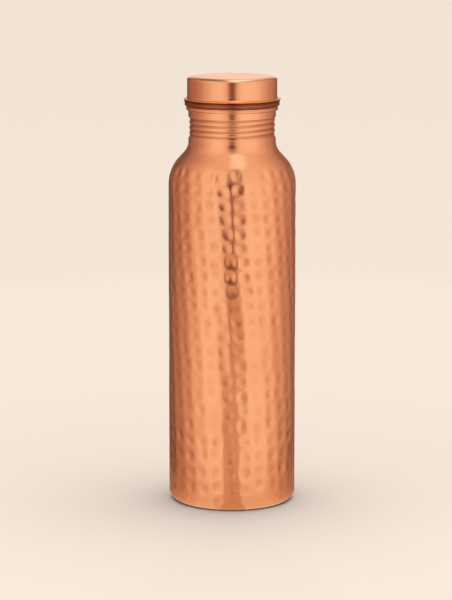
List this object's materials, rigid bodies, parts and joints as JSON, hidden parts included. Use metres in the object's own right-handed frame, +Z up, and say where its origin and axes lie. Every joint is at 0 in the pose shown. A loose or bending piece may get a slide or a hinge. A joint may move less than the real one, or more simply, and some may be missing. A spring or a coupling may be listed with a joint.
{
  "type": "copper water bottle",
  "caption": "Tall round copper drinking bottle with a sloping shoulder, narrow threaded neck and a screw cap with a rolled bead and a sealing ring.",
  "frame": {"origin": "centre of the base, on the surface that the bottle stands on", "axes": "+Z up along the bottle's axis, from the base to the cap"},
  "size_m": [0.0754, 0.0754, 0.254],
  "materials": {
    "hammered_copper": "hammered, satin-polished copper",
    "cap_copper": "spun, satin-polished copper",
    "sleeve_copper": "plain satin copper",
    "silicone": "matte off-white silicone"
  },
  "bodies": {
    "bottle": {"bottle_shell": "hammered_copper"},
    "cap_seal": {"cap_gasket": "silicone"},
    "cap": {"cap_outer_shell": "cap_copper", "cap_thread_sleeve": "sleeve_copper"}
  },
  "joints": [
    {"name": "cap_rise", "type": "slide", "parent": "bottle", "child": "cap_seal", "axis": [0, 0, 1], "range_m": [0, 0.0221]},
    {"name": "cap_turn", "type": "hinge", "parent": "cap_seal", "child": "cap", "pos_m": [0, 0, 0.24], "axis": [0, 0, 1], "range_deg": [0, 2520]}
  ],
  "couplings": [
    {"joint": "cap_rise", "follows": "cap_turn", "m_per_rad": 0.00050134}
  ]
}
